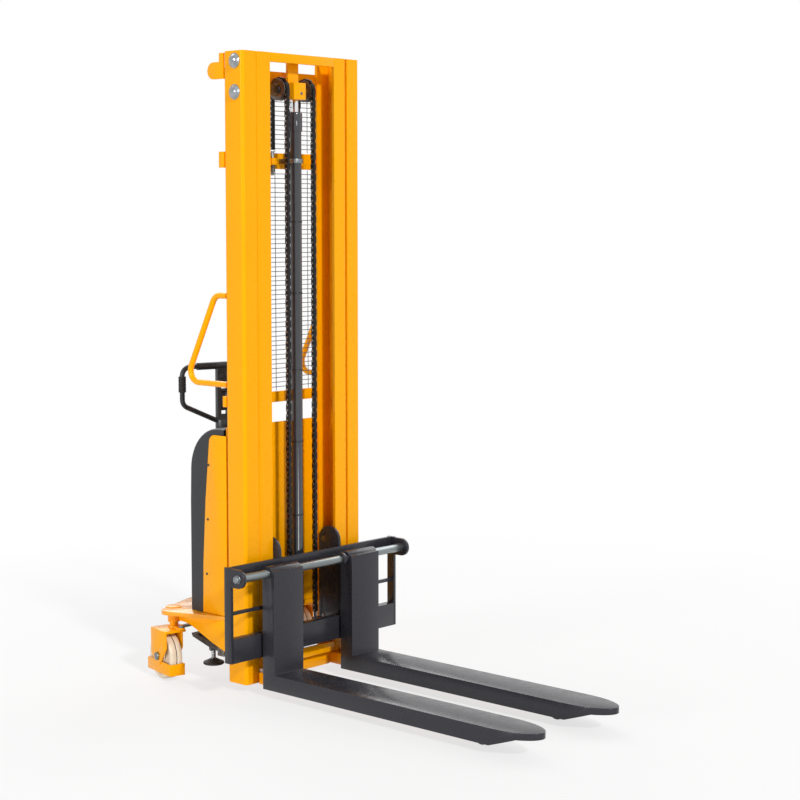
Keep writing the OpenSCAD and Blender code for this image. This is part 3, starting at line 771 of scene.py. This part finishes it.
@dataclass
class Chains:
    """Leaf chains over the two chain rollers."""

    pitch: float = 19.05 * MM
    plate_t: float = 2.6 * MM
    plate_w: float = 14.4 * MM
    pin_r: float = 3.4 * MM
    width: float = 14.6 * MM
    pin_past: float = 0.4 * MM
    strand_half: float = 7.5 * MM
    wrap_r: float = 39 * MM

    def build(self) -> None:
        """Builds the rollers and the three stretches of both chains."""
        take_over("chain_rollers", Finishes.roller, 0.6 * MM)
        front_low, front_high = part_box("chain_front")
        rear_low, rear_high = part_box("chain_rear")
        x = front_high.x - self.strand_half
        front = self._strands(x, front_low.y + self.strand_half, front_low.z, front_high.z)
        self._finish("chain_front", front, "inner_mast", "chain_front")
        rear = self._strands(x, rear_low.y + self.strand_half, rear_low.z, rear_high.z)
        self._finish("chain_rear", rear, None, "chain_rear")
        self._wraps(x)

    def _plate(self, x: float) -> bmesh.types.BMesh:
        """Makes one side plate between two pins, the lower pin at the origin.

        Args:
            x: Middle of its thickness.

        Returns:
            The mesh.
        """
        reach = self.plate_w * 0.44
        half_t = self.plate_t * 0.5
        half_w = self.plate_w * 0.5
        mesh = slab((x - half_t, -half_w, -reach), (x + half_t, half_w, self.pitch + reach))
        round_edges(mesh, half_w * 0.8, 2, lambda e: abs((e.verts[0].co - e.verts[1].co).x) > half_t)
        return mesh

    def _link(self, outer: bool) -> bmesh.types.BMesh:
        """Makes one pitch of chain: its plates and its lower pin.

        Args:
            outer: Whether its plates are the outer ones.

        Returns:
            The mesh.
        """
        mesh = bmesh.new()
        offsets = (-6.0, -1.6, 1.6, 6.0) if outer else (-3.3, 3.3, 0.0)
        for offset in offsets:
            merge(mesh, self._plate(offset * MM))
        pin = bmesh.new()
        bmesh.ops.create_cone(pin, cap_ends=True, segments=10, radius1=self.pin_r, radius2=self.pin_r,
                              depth=self.width + self.pin_past)
        place(pin, Vector((0, 0, 0)), Vector((1, 0, 0)))
        for face in pin.faces:
            face.material_index = 1
        merge(mesh, pin)
        return mesh

    def _links(self) -> tuple[bpy.types.Mesh, bpy.types.Mesh]:
        """Returns the two kinds of link as mesh data."""
        kinds = []
        for outer in (True, False):
            data = bpy.data.meshes.new("link")
            mesh = self._link(outer)
            mesh.to_mesh(data)
            mesh.free()
            kinds.append(data)
        return kinds[0], kinds[1]

    @staticmethod
    def _add(mesh: bmesh.types.BMesh, link: bpy.types.Mesh, where: Matrix) -> None:
        """Adds a link at a place.

        Args:
            mesh: Mesh that grows.
            link: Link to add.
            where: Its place.
        """
        before = len(mesh.verts)
        mesh.from_mesh(link)
        mesh.verts.ensure_lookup_table()
        bmesh.ops.transform(mesh, matrix=where, verts=mesh.verts[before:])

    def _strands(self, x: float, y: float, low: float, high: float) -> bmesh.types.BMesh:
        """Makes a straight strand on each side, hung from its upper end.

        Args:
            x: Distance of the strands from the middle.
            y: Their place along Y.
            low: Height of their lower end.
            high: Height of their upper end.

        Returns:
            The mesh.
        """
        kinds = self._links()
        mesh = bmesh.new()
        count = round((high - low - self.plate_w * 0.5) / self.pitch)
        for side in (-1, 1):
            for i in range(count):
                z = high - (i + 1) * self.pitch
                self._add(mesh, kinds[i % 2], Matrix.Translation((side * x, y, z)))
        return mesh

    def _wraps(self, x: float) -> None:
        """Lays the links over the rollers.

        Args:
            x: Distance of the chains from the middle.
        """
        kinds = self._links()
        centre = PIVOTS["chain_roller_spin"]
        count = round(math.pi * self.wrap_r / self.pitch)
        mesh = bmesh.new()
        for side in (-1, 1):
            for i in range(count):
                angle = math.pi * i / count
                across, up = self.wrap_r * math.cos(angle), self.wrap_r * math.sin(angle)
                spot = Vector((side * x, centre.y - across, centre.z + up))
                lean = Matrix.Rotation(-(angle + math.pi / count / 2), 4, "X")
                self._add(mesh, kinds[i % 2], Matrix.Translation(spot) @ lean)
        self._finish("chain_wraps", mesh, "inner_mast", "chain_wraps")

    def _finish(self, name: str, mesh: bmesh.types.BMesh, body: str | None, node: str) -> None:
        """Turns links into a piece that rides on a body of the mast, or stays fixed where no body is given.

        Args:
            name: Name of the piece.
            mesh: The links.
            body: Body that they ride on, or None where they join the two masts.
            node: CAD node that they replace.
        """
        soften(mesh)
        data = bpy.data.meshes.new(f"{name}_links")
        mesh.to_mesh(data)
        mesh.free()
        for look in (Finishes.chain, Finishes.pin):
            data.materials.append(look.material())
        piece = bpy.data.objects.new(f"{name}_links", data)
        bpy.context.scene.collection.objects.link(piece)
        if body is None:
            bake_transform(piece)
        else:
            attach(piece, body)
        if node == "chain_front":
            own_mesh(piece)
        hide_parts(node)
        LOG.info("%s: %d faces", name, len(data.polygons))


@dataclass
class Carriage:
    """Carriage frame, fork bar and forks."""

    def build(self) -> None:
        """Dresses the carriage."""
        for node in ("carriage_sides", "carriage_beams", "roller_brackets"):
            take_over(node, Finishes.slate, 1.2 * MM)
        take_over("fork_bar", Finishes.zinc, 1.0 * MM)
        take_over("bar_bolts", Finishes.zinc, 0.6 * MM)
        for node in ("lower_rollers", "upper_rollers"):
            take_over(node, Finishes.roller, 1.0 * MM)
        for node in ("fork_left", "fork_right"):
            take_over(node, Finishes.slate, 2.5 * MM, 3)


@dataclass
class Chassis:
    """Legs, base plate, hood and what stands under it."""

    def build(self) -> None:
        """Dresses the chassis."""
        for node in ("leg_left", "leg_right", "gussets"):
            take_over(node, Finishes.yellow, 1.5 * MM)
        take_over("base_plate", Finishes.plate_yellow, 1.5 * MM)
        take_over("bearing_caps", Finishes.plate_yellow, 0.6 * MM)
        for node in ("side_panels", "front_panel"):
            take_over(node, Finishes.yellow, 0.6 * MM)
        take_over("rear_cover", Finishes.cover, 11 * MM, 5, self._is_shoulder)
        take_over("panel_screws", Finishes.black, 0)
        take_over("battery", Finishes.case, 3 * MM)
        take_over("pump_unit", Finishes.cast, 3 * MM)
        take_over("charger", Finishes.grey_coat, 2 * MM)
        for node in ("load_roller_left", "load_roller_right"):
            take_over(node, Finishes.urethane, 2 * MM)

    @staticmethod
    def _is_shoulder(edge: bmesh.types.BMEdge) -> bool:
        """Tells whether an edge runs along the hood's outer side.

        Args:
            edge: Edge of the hood.

        Returns:
            True on the rim between a side wall and the curved back.
        """
        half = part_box("rear_cover")[1].x
        on_side = all(abs(abs(v.co.x) - half) < 0.2 * MM for v in edge.verts)
        normals = [f.normal for f in edge.link_faces]
        flat = [n for n in normals if abs(n.x) > 0.9]
        curved = [n for n in normals if abs(n.x) < 0.1 and (n.y > 0.05 or n.z > 0.5)]
        return on_side and len(flat) == 1 and len(curved) == 1 and edge.verts[0].co.z > 0.3


@dataclass
class Steering:
    """Swivel casters, tie bar and handle."""

    axle_r: float = 15.5 * MM
    hub_half: float = 24.5 * MM
    tread_r: float = 80 * MM
    groove_half: float = 1.6 * MM
    rib: float = 1.6 * MM
    wall: float = 2 * MM
    turn: float = -13.0
    grip_x: float = 176 * MM
    grip_foot: float = 1.050
    grip_top: float = 1.110
    grip_r: float = 13.2 * MM
    grip_ribs: int = 9
    rocker_z: tuple[float, ...] = (1.078, 1.104)
    rocker_x: float = 13 * MM
    rocker_half: float = 9 * MM
    rocker_t: float = 3 * MM
    rocker_edge: float = 1.6 * MM
    face_y: float = 10 * MM

    def build(self) -> None:
        """Dresses the steering."""
        for node in ("caster_left", "caster_right", "steer_head"):
            take_over(node, Finishes.yellow, 1.0 * MM)
        for name in ("left", "right"):
            self._wheel(name)
        take_over("tie_bar", Finishes.zinc, 0.8 * MM)
        take_over("handle_arm", Finishes.black, 0.8 * MM)
        take_over("handle_loop", Finishes.black, 0.6 * MM)
        take_over("lowering_lever", Finishes.black, 2 * MM)
        for name, side in (("left", -1), ("right", 1)):
            self._grip(name, side)
        self._rockers()

    def _wheel(self, name: str) -> None:
        """Dresses a caster's wheel: cream tread, painted shade (near black) in the tread's groove and zinc
        axle.

        Args:
            name: Side that it is on.
        """
        wheel = take_over(f"caster_wheel_{name}", Finishes.nylon, 0.8 * MM)
        centre = PIVOTS[f"{name}_caster_roll"]
        axis = Matrix.Rotation(math.radians(self.turn), 3, "Z") @ Vector((1, 0, 0))

        def polar(spot: Vector) -> tuple[float, float]:
            """Returns a point's distance from the axle and along it."""
            along = (spot - centre).dot(axis)
            return (spot - centre - axis * along).length, abs(along)

        def on_axle(spot: Vector) -> bool:
            """Tells whether a point is on an end of the axle."""
            return polar(spot)[0] < self.axle_r and polar(spot)[1] > self.hub_half

        def in_shaded_groove(spot: Vector) -> bool:
            """Tells whether a point is in the tread's groove, where shade is painted near black."""
            return polar(spot)[0] > self.tread_r and polar(spot)[1] < self.groove_half

        paint(wheel, Finishes.zinc, on_axle)
        # painted shade: the tread's groove is coloured near black
        paint(wheel, Finishes.dark, in_shaded_groove)

    def _on_handle(self, mesh: bmesh.types.BMesh) -> bmesh.types.BMesh:
        """Moves a mesh from the handle's own directions to where the handle stands.

        Args:
            mesh: Mesh with the handle's middle line on the Z axis.

        Returns:
            The same mesh.
        """
        middle = Vector((PIVOTS["handle_tilt"].x, PIVOTS["handle_tilt"].y, 0))
        turn = Matrix.Rotation(math.radians(self.turn), 4, "Z")
        bmesh.ops.transform(mesh, matrix=Matrix.Translation(middle) @ turn, verts=mesh.verts)
        return mesh

    def _grip(self, name: str, side: int) -> None:
        """Adds a ribbed rubber grip.

        Args:
            name: Side that it is on.
            side: -1 or 1.
        """
        height = self.grip_top - self.grip_foot
        step = height / self.grip_ribs
        profile = [(self.grip_r - self.wall, 0.0)]
        for i in range(self.grip_ribs):
            foot = i * step
            profile += [(self.grip_r, foot), (self.grip_r + self.rib, foot + step * 0.25),
                        (self.grip_r + self.rib, foot + step * 0.65), (self.grip_r, foot + step * 0.9)]
        profile += [(self.grip_r, height), (self.grip_r - self.wall, height)]
        grip = turned(profile, Vector((side * self.grip_x, 0, self.grip_foot)), Vector((0, 0, 1)), 32)
        finish_piece(f"grip_{name}", self._on_handle(grip), Finishes.rubber, "handle")

    def _rockers(self) -> None:
        """Adds the travel and lift rockers on both faces of the handle's head."""
        mesh = bmesh.new()
        for face in (-1, 1):
            for z in self.rocker_z:
                for side in (-1, 1):
                    x, y, half = side * self.rocker_x, face * self.face_y, self.rocker_half
                    low = (x - half, y - self.rocker_t, z - half)
                    high = (x + half, y + self.rocker_t, z + half)
                    merge(mesh, slab(low, high, self.rocker_edge, 3))
        rockers = finish_piece("handle_rockers", self._on_handle(mesh), Finishes.rubber, "handle")
        rim = self.rocker_z[1] + self.rocker_half - 0.1 * MM
        paint(rockers, Finishes.amber, lambda spot: spot.z > rim)


@dataclass
class FloorLock:
    """Foot-operated floor lock."""

    disc_top: float = 0.067

    def build(self) -> None:
        """Dresses the lock."""
        take_over("lock_bracket", Finishes.zinc, 0.8 * MM)
        take_over("lock_pedal", Finishes.pedal, 0.8 * MM)
        foot = take_over("lock_foot", Finishes.rubber, 1.5 * MM)
        paint(foot, Finishes.zinc, lambda spot: spot.z > self.disc_top)


@dataclass
class Controls:
    """Stop button, key switch and battery gauge on the back of the hood."""

    middle_z: float = 0.640
    button_x: float = 0.120
    gauge_x: tuple[float, float] = (-52 * MM, 12 * MM)
    gauge_half_h: float = 16 * MM
    gauge_rim: float = 3.5 * MM
    bars: int = 8
    collar_in: float = 11 * MM
    collar_out: float = 26 * MM
    collar_t: float = 2 * MM

    def build(self) -> None:
        """Dresses the controls."""
        take_over("stop_button", Finishes.red, 1.0 * MM)
        take_over("key_switch", Finishes.zinc, 0.5 * MM)
        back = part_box("rear_cover")[1].y
        self._collar(back)
        self._gauge(back)

    def _collar(self, back: float) -> None:
        """Puts a bare yellow ring round the stop button.

        Args:
            back: Y of the hood's rear face.
        """
        inner, outer, t = self.collar_in, self.collar_out, self.collar_t
        profile = [(inner, 0), (outer, 0), (outer, t * 0.6), (outer - 1 * MM, t), (inner, t), (inner, 0)]
        ring = turned(profile, Vector((self.button_x, back, self.middle_z)), Vector((0, 1, 0)))
        finish_piece("stop_button_collar", ring, Finishes.yellow, BODY_OF["rear_cover"])

    def _gauge(self, back: float) -> None:
        """Builds the battery gauge: a bezel, a window and a row of charge bars.

        Args:
            back: Y of the hood's rear face.
        """
        low, high = self.gauge_x
        foot, top = self.middle_z - self.gauge_half_h, self.middle_z + self.gauge_half_h
        body = BODY_OF["rear_cover"]
        bezel = slab((low, back - 1 * MM, foot), (high, back + 2 * MM, top), 1.2 * MM, 3)
        finish_piece("gauge_bezel", bezel, Finishes.black, body)
        rim = self.gauge_rim
        pane = slab((low + rim, back + 1.5 * MM, foot + rim), (high - rim, back + 2.3 * MM, top - rim),
                    0.3 * MM)
        finish_piece("gauge_window", pane, Finishes.glass, body)
        mesh = bmesh.new()
        step = (high - low - 4 * rim) / self.bars
        for i in range(self.bars):
            x = low + 2 * rim + i * step
            merge(mesh, slab((x + step * 0.15, back + 2.1 * MM, foot + 2 * rim),
                             (x + step * 0.85, back + 2.6 * MM, top - 2 * rim), 0.15 * MM))
        bars = finish_piece("gauge_bars", mesh, Finishes.green, body)
        paint(bars, Finishes.amber, lambda spot: spot.x > high - 2 * rim - 2 * step)


def main() -> None:
    """Builds the truck's looks, one sub-assembly after another."""
    logging.basicConfig(level=logging.INFO, format="%(message)s")
    Studio().build()
    for assembly in (Mast(), Chains(), Carriage(), Chassis(), Steering(), FloorLock(), Controls()):
        assembly.build()


if __name__ == "__main__":
    main()
